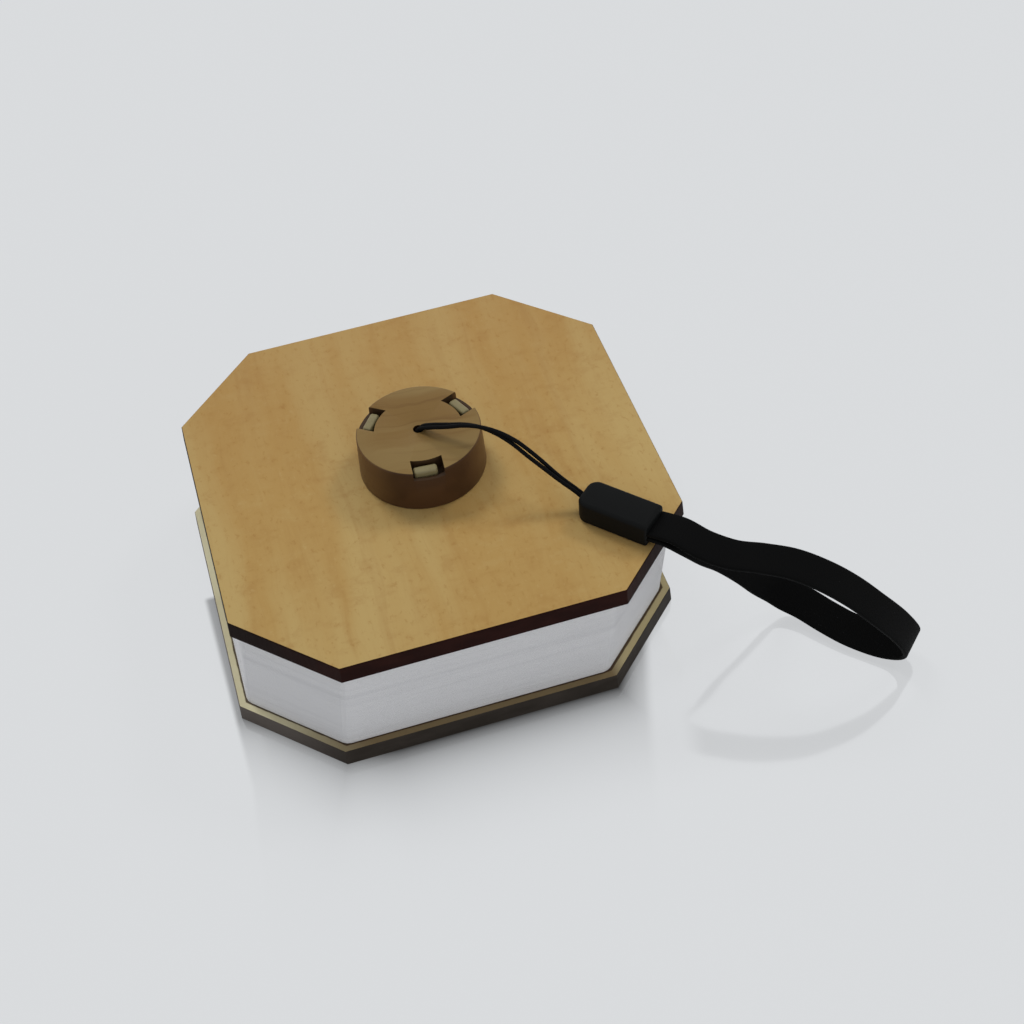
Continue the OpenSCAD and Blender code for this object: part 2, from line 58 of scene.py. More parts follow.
# ---------- sizes from the part's source, in millimetres ----------

BOARD_W, CORNER_CUT, BOARD_T = 125.0, 24.3, 5.4
VENEER_T, LINING_T = 0.8, 0.6
PAGE_GAP, PAGE_INSET, PAGE_DEPTH, PAGE_BACK_Y = 29.8, 2.3, 18.0, 53.8
TOTAL_H = 2 * BOARD_T + PAGE_GAP
MID_Z = TOTAL_H / 2
BASE_X, LID_X = -1.7, 1.7
HUB_R, HUB_FOOT_R, HUB_H, HUB_BORE_R = 17.2, 17.7, 13.3, 1.5
KNOT_R, KNOT_TOP, PAD_R, PAD_TOP = 4.5, 5.8, 12.1, 0.8
NOTCH_W, NOTCH_DEPTH, NOTCH_IN, LIP_R, LIP_DROP = 8.6, 4.2, 12.2, 16.1, 2.4
NOTCH_TURNS = (-94.6, 24, 144)
BAR_L, BAR_W, BAR_H, BAR_R = 6.5, 2.6, 3.4, 14.3
BEAD_AT, BEAD_TURN = (45.8, -39.5), -47.4
BEAD_L, BEAD_W, BEAD_H = 21.4, 10.0, 7.4
STRAP_W, STRAP_T = 9.4, 1.3

# ---------- sizes of the dressed pieces alone, in millimetres, and counts ----------

EDGE_FLARE = 0.4  # how much wider a cover is at its lower face
VENEER_ROUND, LINING_ROUND = 0.25, 0.2
LEAVES_PER_HALF, SHEET_T, FOLD_STEP = 48, 0.015, 5
FOLD_FLAT = 0.45  # half of a fold's flat face, as a share of its pitch
RUFFLE, LIFT = 0.12, 0.15  # how far folds stray outwards and upwards
FOLD_TRIM, FOLD_SET = 1.3, 0.36  # corners of the outer fold: trimmed, and set in
INNER_END_X, INNER_CUT = 40.3, 7.4  # the inner fold's ends, and its front corners' cut
INNER_BACK = (0.6, 6.8)  # how far its back corners are set in
PAGE_SLIP = 0.8  # the leaves' right front corner, to the left
HUB_EDGE_R, HUB_SIDES, NOTCH_EDGE = 0.5, 128, 0.18
BAR_EDGE, BAR_SLIPS = 0.7, (-0.7, 0.0, 0.0)
BEAD_EDGE_R, BEAD_CORD_R, BEAD_STRAP_R = 1.1, 3.0, 0.8
CORD_D, CORD_STEP, BRAID_STEP, BRAID_LOBES = 1.15, 0.8, 0.62, 4
STRAP_EDGE_R, STRAP_STEP, RIB_STEP, WEFT_STEP = 0.45, 1.1, 0.62, 0.5
LED_PITCH, REED_Z = 9.5, 13.1

CORD_ROUTE = [
    (1.7, 0, 45.6), (1.7, 0, 48.6), (1.7, 0, 52.4), (2.4, -0.4, 54.6), (5, -2.7, 56.4),
    (8.8, -5.8, 58.1), (12.8, -8.7, 59.7), (16.7, -11.8, 60.4), (20.5, -15, 59.8),
    (24, -18.3, 58.2), (27.2, -21.5, 55.6), (30.4, -24.3, 52.5), (33.5, -26.8, 49.3),
    (36.7, -29.3, 46.5), (38.3, -30.8, 45.1), (39.8, -33, 44.4),
]
CORD_ACROSS = (0.6, 0.55, 0.58)
CORD_TWIST = (148, -48)  # degrees at the hub and at the bead
CORD_TWIST_SPAN = (0.2, 0.9)  # shares of the cord's length
CORD_CLEAR, CORD_PART = 0.01, 0.12
CORD_PART_AT, CORD_PART_SPAN = 0.72, 0.18  # where the strands part most, and how far on
STRAP_ROUTE = [
    (52.3, -46.6, 45.1), (58, -52.1, 45.5), (62.7, -57.9, 44.5), (68.6, -62.6, 43.4),
    (75.5, -66.4, 43.3), (83, -70.1, 42), (90.3, -74, 38.5), (97.4, -77.2, 32.8),
    (104, -80, 25.7), (109.6, -81.1, 18.5), (113.4, -81.4, 12), (114.8, -80.2, 7.3),
    (112.7, -77.4, 4.6), (108.3, -73.7, 3.9), (102.8, -68.1, 4.1), (98.3, -62, 4.5),
    (94.3, -56.1, 5.1), (90.4, -52.2, 6.2), (87.1, -50.7, 9.2), (82.5, -50.8, 14.7),
    (77.4, -50.6, 21.5), (71.6, -50.5, 28.4), (66.2, -51.6, 34.5), (61.5, -51.5, 39.6),
    (57.3, -50.2, 42.7), (52.3, -46.6, 43.5),
]
# directions across the band: in the bead, on its way out and on its way back
BEAD_ACROSS = (0.736, 0.677, 0)
STRAP_ACROSS = (0.735, 0.659, 0.08)
RETURN_ACROSS = (0.735, 0.659, 0.63)
STRAP_SETTLE = 22.0  # length over which the bead's hold wears off
STRAP_TURN = (9, 14)  # the points of its route where it turns back


def mm(value):
    """Millimetres to metres, for a point or a list of points."""
    return np.asarray(value, float) * MM


def unit(v):
    v = np.asarray(v, float)
    return v / np.linalg.norm(v)


def ease(share):
    """A share from 0 to 1 that starts and ends gently."""
    share = min(1.0, max(0.0, share))
    return share * share * (3 - 2 * share)


def srgb(red, green, blue):
    """A colour as seen on a screen, 0 to 255, to the shader's linear values."""
    return tuple(
        c / 12.92 if c <= 0.04045 else ((c + 0.055) / 1.055) ** 2.4
        for c in (red / 255, green / 255, blue / 255)
    ) + (1.0,)


# ---------- node trees ----------

class Link:
    """An output socket that takes part in plain arithmetic."""

    def __init__(self, graph, socket):
        self.graph, self.socket = graph, socket

    def _math(self, operation, first, second=None):
        inputs = {0: first} if second is None else {0: first, 1: second}
        return self.graph.add("ShaderNodeMath", inputs, operation=operation)

    def __add__(self, other):
        return self._math("ADD", self, other)

    __radd__ = __add__

    def __sub__(self, other):
        return self._math("SUBTRACT", self, other)

    def __rsub__(self, other):
        return self._math("SUBTRACT", other, self)

    def __mul__(self, other):
        return self._math("MULTIPLY", self, other)

    def __truediv__(self, other):
        return self._math("DIVIDE", self, other)

    def __pow__(self, other):
        return self._math("POWER", self, other)

    def __rpow__(self, other):
        return self._math("POWER", other, self)

    def __abs__(self):
        return self._math("ABSOLUTE", self)

    def sin(self):
        return self._math("SINE", self)

    def max(self, other):
        return self._math("MAXIMUM", self, other)

    def min(self, other):
        return self._math("MINIMUM", self, other)

    def fraction(self):
        return self._math("FRACT", self)


class Graph:
    """Builds one node tree; add() makes every node."""

    def __init__(self, tree):
        self.tree = tree

    def feed(self, socket, value):
        if isinstance(value, Link):
            self.tree.links.new(value.socket, socket)
        else:
            socket.default_value = value

    def add(self, kind, sockets=None, out=0, **settings):
        """A node of a kind: its settings first, then values or links for its sockets."""
        node = self.tree.nodes.new(kind)
        for name, value in settings.items():
            setattr(node, name, value)
        for name, value in (sockets or {}).items():
            self.feed(node.inputs[name], value)
        return Link(self, node.outputs[out])

    def split(self, vector):
        """The three numbers of a vector."""
        node = self.add("ShaderNodeSeparateXYZ", {0: vector}).socket.node
        return [Link(self, output) for output in node.outputs]

    def join(self, x, y, z):
        return self.add("ShaderNodeCombineXYZ", {0: x, 1: y, 2: z})

    def vector(self, operation, first, second):
        return self.add("ShaderNodeVectorMath", {0: first, 1: second}, operation=operation)

    def mix(self, factor, a, b):
        """Colour a where factor is 0, and b where it is 1."""
        return self.add("ShaderNodeMix", {0: factor, 6: a, 7: b}, out=2, data_type="RGBA")

    def mix_shaders(self, factor, a, b):
        """Shader a where factor is 0, and b where it is 1."""
        return self.add("ShaderNodeMixShader", {0: factor, 1: a, 2: b})

    def ramp(self, value, low, high):
        """0 up to low, 1 from high on and a smooth rise between them; low may be the larger,
        for a fall."""
        return self.add("ShaderNodeMapRange", {0: value, 1: low, 2: high, 3: 0.0, 4: 1.0},
                        interpolation_type="SMOOTHSTEP")

    def tint(self, colour, other, value, low, high, share):
        """The colour, taken by a share of the way to another as value goes from low to high."""
        return self.mix(self.ramp(value, low, high) * share, colour, other)

    def noise(self, vector, per_metre, detail, roughness, shift=0.0):
        """Soft noise, 0 to 1, with so many waves in a metre, on each axis or on all three."""
        place = self.vector("MULTIPLY", vector, np.broadcast_to(per_metre, 3))
        if shift:
            place = self.vector("ADD", place, (shift, shift * 0.7, shift * 1.3))
        return self.add("ShaderNodeTexNoise", {"Vector": place, "Scale": 1.0, "Detail": detail,
                                               "Roughness": roughness})

    def seen_rays(self):
        """1 on rays that show a surface or the surroundings: straight from the camera, in a
        reflection or through glass."""
        path = self.add("ShaderNodeLightPath").socket.node
        kinds = [Link(self, path.outputs[f"Is {kind} Ray"])
                 for kind in ("Camera", "Glossy", "Transmission")]
        return (kinds[0] + kinds[1] + kinds[2]).min(1.0)


def past_cover(x, y, cover_x):
    """How far a plan point lies outside a cover, in metres; inside is negative."""
    ax, ay = abs(x - cover_x * MM), abs(y)
    half, cut = BOARD_W / 2 * MM, CORNER_CUT * MM
    return (ax.max(ay) - half).max((ax + ay - (2 * half - cut)) * math.sqrt(0.5))


class Finish(Graph):
    """One material: a principled shader whose varying sockets are fed from noise. The gloss
    is its specular level."""

    def __init__(self, name, gloss=0.5, **sockets):
        self.material = bpy.data.materials.new(name)
        self.material.use_nodes = True
        super().__init__(self.material.node_tree)
        self.tree.nodes.clear()
        self.shader = self.tree.nodes.new("ShaderNodeBsdfPrincipled")
        self.output = self.tree.nodes.new("ShaderNodeOutputMaterial")
        self.end_with(self.shader.outputs[0])
        self.feed(self.shader.inputs["Specular IOR Level"], gloss)
        self.set(**sockets)

    def end_with(self, socket):
        self.tree.links.new(socket, self.output.inputs[0])

    def set(self, **sockets):
        for name, value in sockets.items():
            self.feed(self.shader.inputs[name.replace("_", " ").title()], value)

    def place(self):
        """The point on the piece, in metres in the model's frame."""
        return self.add("ShaderNodeTexCoord", out="Object")

    def round_and_along(self):
        """Millimetres round and along a swept piece."""
        return self.split(self.add("ShaderNodeTexCoord", out="UV"))[:2]

    def coat(self, colour, roughness, height, relief, strength):
        """The material with its colour, its roughness and a relief of so many millimetres for
        a height of 0 to 1."""
        bump = self.add("ShaderNodeBump", {"Height": height, "Distance": relief * MM,
                                           "Strength": strength})
        self.set(base_color=colour, roughness=roughness, normal=bump)
        return self.material


# ---------- finishes ----------

def veneer(name, pale, warm, dark, seed):
    """Light figured veneer: soft bands from the fore edge to the spine, short flecks."""
    f = Finish(name, 0.16)
    p = f.place()
    x, y, z = f.split(p)
    sway = f.noise(p, (16, 11, 16), 3, 0.6, shift=seed) - 0.5
    q = f.join(x + sway * 0.016, y, z)
    bands = f.noise(q, (62, 7, 62), 2, 0.5, shift=seed + 3)
    streaks = f.noise(q, (210, 14, 210), 3, 0.6, shift=seed + 7)
    mottle = f.noise(p, (150, 210, 150), 4, 0.62, shift=seed + 17)
    curls = f.noise(f.join(x + (mottle - 0.5) * 0.004, y, z), (760, 380, 760), 3, 0.6,
                    shift=seed + 23)
    fibres = f.noise(q, (1500, 90, 1500), 3, 0.6, shift=seed + 11)
    colour = f.mix(f.ramp(bands, 0.38, 0.62), pale, warm)
    colour = f.tint(colour, dark, streaks, 0.5, 0.78, 0.3)
    colour = f.tint(colour, pale, streaks, 0.42, 0.2, 0.35)
    colour = f.tint(colour, dark, mottle, 0.5, 0.74, 0.26)
    colour = f.tint(colour, pale, mottle, 0.46, 0.28, 0.34)
    colour = f.tint(colour, dark, curls, 0.56, 0.72, 0.34)
    colour = f.tint(colour, pale, curls, 0.4, 0.26, 0.52)
    colour = f.tint(colour, dark, fibres, 0.5, 0.8, 0.13)
    colour = f.tint(colour, dark, y, -0.03, 0.06, 0.26)
    relief = curls * 0.6 + fibres * 0.4
    return f.coat(colour, 0.5 + (curls - 0.5) * 0.3, relief, 0.04, 0.5)


def scorched_edge(name, dark, brown, painted_left_tone):
    """Dark cut edge of a board, with faint upright marks and a brown tinge. Towards the left
    front corner it turns to painted light on the lower cover and painted shade on the upper."""
    f = Finish(name, 0.04)
    p = f.place()
    x = f.split(p)[0]
    marks = f.noise(p, (1400, 1400, 120), 3, 0.6)
    cloud = f.noise(p, (90, 90, 260), 3, 0.5, shift=5)
    colour = f.tint(dark, brown, cloud, 0.35, 0.75, 0.6)
    colour = f.tint(colour, brown, marks, 0.55, 0.85, 0.35)
    # towards the left front corner: painted light on the lower cover's edge, painted shade on
    # the upper's
    colour = f.tint(colour, painted_left_tone, x, -0.036, -0.056, 0.9)
    return f.coat(colour, 0.52 + (marks - 0.5) * 0.25, marks, 0.05, 0.6)


def lining_paper(name, colour, deep, olive, fore_edge_shade, glue_and_shade, cover_x):
    """Matte paper on the inner face of a cover: olive to the right, with painted shade towards
    the fore edge and a dark line along the foot of the leaves that is glue and painted shade."""
    f = Finish(name, 0.2)
    p = f.place()
    x, y = f.split(p)[:2]
    fibres = f.noise(p, 1300, 4, 0.7)
    cloud = f.noise(p, 60, 3, 0.5, shift=3)
    wander = (f.noise(p, 260, 3, 0.6, shift=7) - 0.5) * 0.0005
    past = past_cover(x, y, cover_x)
    tone = f.tint(colour, deep, cloud, 0.35, 0.7, 0.5)
    tone = f.tint(tone, deep, fibres, 0.5, 0.8, 0.25)
    tone = f.mix(f.ramp(x + (cloud - 0.5) * 0.01, 0.03, 0.042), tone, olive)
    # painted shade towards the fore edge, fading out at its left and right ends
    fore = f.ramp(y + (cloud - 0.5) * 0.006, -0.036, -0.056)
    fore = fore * f.ramp(x, -0.064, -0.03) * f.ramp(x, 0.041, 0.035)
    tone = f.mix(fore, tone, fore_edge_shade)
    slip = f.ramp(x - y, 0.094, 0.1) * f.ramp(y, -0.035, -0.06) * 0.0006
    # a dark line along the foot of the leaves: glue, and painted shade where they meet the
    # lining
    seam = f.ramp(past + wander + slip, -0.00165, -0.00195)
    tone = f.mix(seam * 0.9, tone, glue_and_shade)
    return f.coat(tone, 0.78 + (fibres - 0.5) * 0.2, fibres - seam * 0.5, 0.04, 0.6)


def leaf_paper(name, white, grey, crease_shade):
    """White leaves: lightest along each fold and greyer into the creases between, a painted
    shade, with some folds a little lighter or darker and a fine tooth."""
    f = Finish(name, 0.2)
    p = f.place()
    leaf = f.noise(p, (9, 9, 640), 2, 0.6)
    group = f.noise(p, (16, 16, 330), 3, 0.5, shift=9)
    tooth = f.noise(p, 2200, 3, 0.6, shift=4)
    tone = f.tint(white, grey, leaf, 0.48, 0.72, 0.4)
    tone = f.tint(tone, grey, group, 0.5, 0.75, 0.25)
    # painted shade: away from each fold's ridge the paper takes the creases' colour
    ridge = f.add("ShaderNodeAttribute", out="Fac", attribute_name="ridge")
    tone = f.mix(f.ramp(ridge, 0.0, 0.6), crease_shade, tone)
    return f.coat(tone, 0.82 + (tooth - 0.5) * 0.16, tooth, 0.02, 0.4)


def turned_wood(name, pale, warm, dark, painted_limb_light, seed, lined=0.5):
    """Figured wood of the hub, whose lines cross its top from side to side; it pales towards
    its left and right, a painted light."""
    f = Finish(name, 0.2)
    p = f.place()
    x, y, z = f.split(p)
    turn = -0.16
    cos, sin = math.cos(turn), math.sin(turn)
    along, across = x * cos + y * sin, y * cos - x * sin
    wave = f.noise(p, 34, 3, 0.55, shift=seed)
    q = f.join(along, across + (wave - 0.5) * 0.012, z)
    bands = f.noise(q, (9, 90, 60), 3, 0.55, shift=seed + 2)
    lines = f.noise(q, (12, 330, 200), 3, 0.55, shift=seed + 5)
    pores = f.noise(q, (120, 2400, 2400), 3, 0.6, shift=seed + 8)
    colour = f.mix(f.ramp(bands, 0.42, 0.6), pale, warm)
    colour = f.mix(f.ramp(lines, 0.55, 0.68) * lined, colour, dark)
    colour = f.tint(colour, dark, pores, 0.55, 0.8, 0.2)
    # painted light: paler towards the hub's left and right
    colour = f.mix(f.ramp(abs(x - LID_X * MM), 0.009, 0.0175) * 0.7, colour, painted_limb_light)
    relief = lines * 0.6 + pores * 0.4
    return f.coat(colour, 0.46 + (lines - 0.5) * 0.2, relief, 0.04, 0.5)


def coated_bar(name, colour, worn):
    """Cream coating of a bar magnet, a little rubbed."""
    f = Finish(name)
    p = f.place()
    rub = f.noise(p, 420, 4, 0.6)
    grain = f.noise(p, 2600, 3, 0.6, shift=6)
    colour = f.tint(colour, worn, rub, 0.5, 0.75, 0.5)
    return f.coat(colour, 0.4 + (grain - 0.5) * 0.25, grain, 0.03, 0.4)


def braided_cord(name, black, lit):
    """Thin braided cord: two sets of strands that cross round it."""
    f = Finish(name, 0.08)
    u, v = f.round_and_along()
    around, step = u * (BRAID_LOBES * 2 / CORD_D), v * (2 * math.pi / BRAID_STEP)
    height = (around + step).sin() * (step - around).sin() * 0.5 + 0.5
    fuzz = f.noise(f.place(), 5200, 2, 0.6)
    tone = f.mix(height * 0.7 + fuzz * 0.2, black, lit)
    return f.coat(tone, 0.62 + (fuzz - 0.5) * 0.2, height + fuzz * 0.2, 0.06, 0.7)


def woven_band(name, black, lit):
    """Flat woven band: ribs along it, crossed by the weft."""
    f = Finish(name, 0.06)
    u, v = f.round_and_along()
    rib = (u * (2 * math.pi / RIB_STEP)).sin()
    weft = (v * (2 * math.pi / WEFT_STEP) + rib * 0.9).sin()
    height = rib * weft * 0.5 + 0.5
    fuzz = f.noise(f.place(), 3800, 3, 0.65)
    cloud = f.noise(f.place(), 70, 3, 0.5, shift=8)
    tone = f.mix(height * 0.45 + fuzz * 0.25 + cloud * 0.15, black, lit)
    return f.coat(tone, 0.7 + (fuzz - 0.5) * 0.2, height * 0.8 + fuzz * 0.25, 0.08, 0.6)


def moulded_plastic(name, colour, worn, rough=0.45, tooth=0.03, gloss=0.4):
    """Moulded plastic with a spark-eroded texture and slight handling marks."""
    f = Finish(name, gloss)
    p = f.place()
    grain = f.noise(p, 2400, 3, 0.6)
    cloud = f.noise(p, 110, 3, 0.5, shift=2)
    wear = f.ramp(cloud, 0.35, 0.75) * 0.4 + f.ramp(grain, 0.5, 0.9) * 0.2
    roughness = rough + (grain - 0.5) * 0.16 + (cloud - 0.5) * 0.1
    return f.coat(f.mix(wear, colour, worn), roughness, grain, tooth, 0.5)


def brushed_metal(name, colour, dull, rough=0.32, along="x"):
    """Metal with fine brushing along one direction and soft tarnish."""
    f = Finish(name, metallic=1.0)
    p = f.place()
    lines = f.noise(p, (60, 2600, 2600) if along == "x" else (2600, 60, 2600), 3, 0.6)
    cloud = f.noise(p, 160, 3, 0.5, shift=4)
    colour = f.tint(colour, dull, cloud, 0.4, 0.75, 0.6)
    roughness = rough + (lines - 0.5) * 0.25 + (cloud - 0.5) * 0.12
    return f.coat(colour, roughness, lines, 0.02, 0.5)


def felt(name, colour, light):
    """Short dense felt."""
    f = Finish(name)
    p = f.place()
    fuzz = f.noise(p, 2800, 5, 0.75)
    cloud = f.noise(p, 220, 3, 0.5, shift=2)
    colour = f.mix(f.ramp(fuzz, 0.4, 0.75) * 0.6 + cloud * 0.15, colour, light)
    return f.coat(colour, 0.92, fuzz, 0.12, 0.8)


def circuit_board(name, mask, track):
    """Solder mask over straight tracks."""
    f = Finish(name)
    x, _, z = f.split(f.place())
    lanes = f.noise(f.join(x, 0.0, z), (260, 260, 1100), 1, 0.4)
    stubs = f.noise(f.join(x, 0.0, z), (1100, 260, 240), 1, 0.4, shift=6)
    tracks = f.ramp(lanes.max(stubs), 0.6, 0.63)
    cloud = f.noise(f.place(), 150, 2, 0.5)
    return f.coat(f.mix(tracks * 0.7, mask, track), 0.32 + cloud * 0.15, tracks, 0.03, 0.6)


def frosted(name, colour, clouded):
    """Frosted diffuser, a little uneven in tone."""
    f = Finish(name)
    p = f.place()
    frost = f.noise(p, 3200, 3, 0.6)
    cloud = f.noise(p, 40, 2, 0.5, shift=3)
    colour = f.tint(colour, clouded, cloud, 0.3, 0.7, 0.25)
    return f.coat(colour, 0.55 + (frost - 0.5) * 0.2, frost, 0.03, 0.5)


def lamp_die(name, package, phosphor):
    """White packages of a row of diodes, each with its yellow phosphor in the middle."""
    f = Finish(name)
    p = f.place()
    x, _, z = f.split(p)
    pitch = LED_PITCH * MM
    along, up = abs((x / pitch).fraction() - 0.5) * pitch, abs(z - MID_Z * MM)
    dot = f.ramp(along * along + up * up * 1.6, 1.6e-6, 1.1e-6)
    grain = f.noise(p, 2600, 2, 0.5)
    colour = f.mix(dot, package, phosphor)
    return f.coat(colour, 0.35 + grain * 0.15, dot * -1.0 + grain * 0.1, 0.08, 0.5)


def switch_glass(name, glass, metal):
    """Glass tube of the reed switch, whose reeds show as a grey line."""
    f = Finish(name)
    p = f.place()
    z = f.split(p)[2]
    reed = f.ramp(abs(z - REED_Z * MM), 0.0004, 0.0002)
    smear = f.noise(p, 300, 2, 0.5)
    f.set(metallic=reed * 0.5)
    return f.coat(f.mix(reed * 0.7, glass, metal), 0.06 + smear * 0.08, smear, 0.02, 0.3)


# ---------- meshes ----------

def mesh_of(name, points, faces):
    """A mesh from points in millimetres."""
    mesh = bpy.data.meshes.new(name)
    mesh.from_pydata([tuple(p) for p in mm(points)], [], faces)
    mesh.update()
    return mesh


def show(name, mesh, *finishes):
    """A new piece of the scene, with a finish for each of its material slots."""
    piece = bpy.data.objects.new(name, mesh)
    scene.collection.objects.link(piece)
    for finish in finishes:
        mesh.materials.append(finish)
    return piece


def bake(piece):
    """Keeps what the piece's modifiers make of it as its plain mesh."""
    bpy.context.view_layer.update()
    result = bpy.data.meshes.new_from_object(
        piece.evaluated_get(bpy.context.evaluated_depsgraph_get()))
    piece.modifiers.clear()
    piece.data = result


def settle(piece, body, node):
    """The piece rides on a body and stands for a CAD node, which it hides."""
    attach(piece, body)
    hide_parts(node)
    return piece


def smooth_by_angle(mesh, degrees):
    """Rounded edges shade smoothly; edges sharper than the angle stay crisp."""
    mesh.shade_smooth()
    mesh.set_sharp_from_angle(angle=math.radians(degrees))


def closed_rings(name, rings):
    """A closed mesh over rings of points, with a face across either end."""
    sides = len(rings[0])
    points = [p for ring in rings for p in ring]
    faces = [list(range(sides))[::-1]]
    for start in range(0, len(points) - sides, sides):
        for k in range(sides):
            n = (k + 1) % sides
            faces.append([start + k, start + n, start + sides + n, start + sides + k])
    faces.append(list(range(len(points) - sides, len(points))))
    return mesh_of(name, points, faces)


def stacked(name, outline, levels):
    """A solid of stacked outlines: outline(inset) gives a ring of plan points, and levels
    lists (inset, height) from the bottom up."""
    return closed_rings(name, [[(x, y, z) for x, y in outline(inset)] for inset, z in levels])


def rounding(low, high, at_low, at_high, steps=3):
    """Levels for stacked(): straight sides with a quarter round at either end, or none."""
    quarter = [math.pi / 2 * i / steps for i in range(steps + 1)]
    levels = [(0.0, low)]
    if at_low:
        levels = [(at_low * (1 - math.sin(a)), low + at_low * (1 - math.cos(a)))
                  for a in quarter]
    if at_high:
        levels += [(at_high * (1 - math.cos(a)), high - at_high * (1 - math.sin(a)))
                   for a in quarter]
    else:
        levels.append((0.0, high))
    return levels


def octagon_reach(inset):
    """The larger and the smaller coordinate of a corner of the inset octagon."""
    far = BOARD_W / 2 - inset
    return far, far - (CORNER_CUT - inset * (2 - math.sqrt(2)))


def octagon(inset, x):
    """Plan of a cover whose eight sides all move inwards by the inset; at the spine a side
    never moves out."""
    far, near = octagon_reach(inset)
    back = min(far, BOARD_W / 2)
    return [(x + a, b) for a, b in (
        (-near, -far), (near, -far), (far, -near), (far, near),
        (near, back), (-near, back), (-far, near), (-far, -near))]


def arc(cx, cy, r, start, end, steps):
    """Points along an arc, angles in degrees."""
    return [(cx + r * math.cos(a), cy + r * math.sin(a))
            for a in np.radians(np.linspace(start, end, steps + 1))]


def smooth_route(route, step):
    """A curve through the route's points at an even step: its points, their distance along
    it, and their place among the route's own points."""
    p = np.array(route, float)
    p = np.vstack([2 * p[0] - p[1], p, 2 * p[-1] - p[-2]])
    fine, cuts = [], 24
    for i in range(1, len(p) - 2):
        a, b, c, d = p[i - 1:i + 3]
        for t in np.linspace(0, 1, cuts, endpoint=False):
            fine.append(0.5 * (2 * b + (c - a) * t + (2 * a - 5 * b + 4 * c - d) * t ** 2
                               + (3 * b - a - 3 * c + d) * t ** 3))
    fine = np.array(fine + [p[-2]])
    run = np.r_[0, np.cumsum(np.linalg.norm(np.diff(fine, axis=0), axis=1))]
    even = np.linspace(0, run[-1], int(round(run[-1] / step)) + 1)
    at = np.linspace(0, len(route) - 1, len(fine))
    return (np.column_stack([np.interp(even, run, fine[:, i]) for i in range(3)]), even,
            np.interp(even, run, at))


def headings(points):
    """Unit direction of travel at each point."""
    d = np.gradient(points, axis=0)
    return d / np.linalg.norm(d, axis=1)[:, None]


def skin(name, rings, along, around):
    """A closed skin over rings of points, with u and v in millimetres round and along."""
    sides = len(rings[0])
    mesh = closed_rings(name, rings)
    sheet = mesh.uv_layers.new(name="UVMap")
    for face in mesh.polygons:
        wraps = {mesh.loops[j].vertex_index % sides for j in face.loop_indices}
        seam = 0 in wraps and sides - 1 in wraps
        for j in face.loop_indices:
            i, k = divmod(mesh.loops[j].vertex_index, sides)
            u = around[sides] if seam and k == 0 else around[k]
            sheet.data[j].uv = (u, along[i])
    mesh.shade_smooth()
    return mesh


# ---------- camera and light ----------

CAMERA_AT = (-46.6704, -325.3176, 376.451)  # millimetres
CAMERA_RIGHT = (0.9562057, -0.2853746, -0.0650534)
CAMERA_UP = (0.2536462, 0.6969987, 0.6707134)
CAMERA_LENS, CAMERA_SENSOR = 59.115, 36.0
# the floor's plain colour, and the colour that its painted shade darkens towards
BACKDROP, SHADE = srgb(218, 220, 222), srgb(8, 7, 7)
ROOM, ROOM_STRENGTH = (0.985, 0.99, 1.0, 1.0), 0.5
LAMPS = (  # strength, spread in degrees, direction
    ("back_lamp", 1.1, 18, (0.2, -0.6, -0.85)),
    ("right_lamp", 0.66, 14, (-0.65, -0.32, -0.75)),
    ("side_fill", 0.55, 50, (-0.5, 0.86, -0.12)),
)

# The floor's painted shade and its reflection, in metres. An edge is a point, and how far x
# moves with y.
SHADE_LEFT = ((-0.0643, -0.0383, 0.1), (-0.068, 0.0064, -0.019))
SHADE_RIGHT = ((0.0626, -0.0291, 0.54), (0.0511, -0.0504, 0.3))
SHADE_CORNER, STRAP_SIDE = (0.062, -0.02, -1.5), (0.058, -0.045, 0.29)
SHADE_REACH, SHADE_CURVE, BEHIND_REACH = 0.0075, 0.92, 0.004
FLOOR_HALF, FLOOR_DROP = 4000, 0.02  # millimetres


def place_camera():
    """Three-quarter view from above, a little to the left of the fore edge."""
    data = bpy.data.cameras.new("camera")
    data.sensor_width, data.lens = CAMERA_SENSOR, CAMERA_LENS
    data.clip_start, data.clip_end = 0.01, 20.0
    camera = bpy.data.objects.new("camera", data)
    scene.collection.objects.link(camera)
    right = Vector(CAMERA_RIGHT)
    back = right.cross(Vector(CAMERA_UP)).normalized()
    up = back.cross(right).normalized()
    turn = Matrix((right.normalized(), up, back)).transposed()
    camera.matrix_world = Matrix.Translation(mm(CAMERA_AT)) @ turn.to_4x4()
    scene.camera = camera


def light_room():
    """Even pale surroundings, two soft lamps from behind and a weak broad one from the
    front."""
    world = scene.world or bpy.data.worlds.new("surroundings")
    scene.world = world
    world.use_nodes = True
    g = Graph(world.node_tree)
    g.tree.nodes.clear()
    plain = g.add("ShaderNodeBackground", {0: BACKDROP, 1: 1.0})
    lit = g.add("ShaderNodeBackground", {0: ROOM, 1: ROOM_STRENGTH})
    out = g.tree.nodes.new("ShaderNodeOutputWorld")
    g.tree.links.new(g.mix_shaders(g.seen_rays(), lit, plain).socket, out.inputs[0])
    for name, strength, spread, towards in LAMPS:
        lamp = bpy.data.lights.new(name, "SUN")
        lamp.energy, lamp.angle = strength, math.radians(spread)
        sun = bpy.data.objects.new(name, lamp)
        scene.collection.objects.link(sun)
        sun.visible_glossy = False
        sun.rotation_euler = Vector(towards).to_track_quat("-Z", "Y").to_euler()


